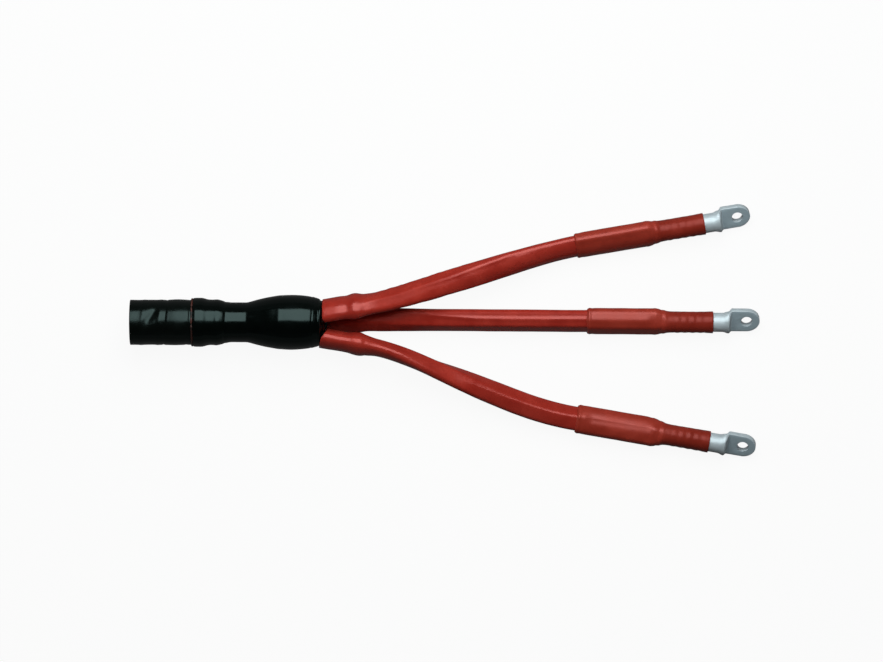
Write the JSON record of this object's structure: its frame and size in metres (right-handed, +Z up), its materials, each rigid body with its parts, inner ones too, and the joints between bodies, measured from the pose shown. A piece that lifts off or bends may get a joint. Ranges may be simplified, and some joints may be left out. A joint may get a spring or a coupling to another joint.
{
  "type": "cable termination",
  "caption": "Heat-shrink cable termination: a black breakout boot on a cable stub, red insulated legs that fan out under lug sleeves, and aluminium lugs with bolt holes.",
  "frame": {"origin": "on the ground, under the middle of the whole termination's box", "axes": "+X along the cable from its cut end towards the lugs, +Y towards the upper leg, +Z up from the ground that it lies on"},
  "size_m": [0.724, 0.2925, 0.0632],
  "materials": {
    "oversheath_pvc": "satin",
    "steel_tape": "satin",
    "bedding_fibre": "matte",
    "sheath_aluminium": "satin",
    "belt_filler": "matte",
    "conductor_aluminium": "satin",
    "core_insulation": "satin",
    "boot_polyolefin": "gloss",
    "seal_hotmelt": "satin",
    "crotch_mastic": "matte",
    "tube_red": "satin",
    "sleeve_red": "satin",
    "lug_sealant": "matte",
    "lug_aluminium": "satin"
  },
  "bodies": {
    "root": {"cable_oversheath": "oversheath_pvc", "steel_tape_armour": "steel_tape", "armour_bedding": "bedding_fibre", "metal_sheath": "sheath_aluminium", "belt_filler": "belt_filler", "upper_conductor": "conductor_aluminium", "middle_conductor": "conductor_aluminium", "lower_conductor": "conductor_aluminium", "upper_insulation": "core_insulation", "middle_insulation": "core_insulation", "lower_insulation": "core_insulation", "breakout_boot": "boot_polyolefin", "boot_seal_bead": "seal_hotmelt", "crotch_mastic": "crotch_mastic", "upper_tube": "tube_red", "middle_tube": "tube_red", "lower_tube": "tube_red", "upper_lug_sealant": "lug_sealant", "middle_lug_sealant": "lug_sealant", "lower_lug_sealant": "lug_sealant", "upper_lug_sleeve": "sleeve_red", "middle_lug_sleeve": "sleeve_red", "lower_lug_sleeve": "sleeve_red", "upper_lug": "lug_aluminium", "middle_lug": "lug_aluminium", "lower_lug": "lug_aluminium"}
  },
  "joints": []
}
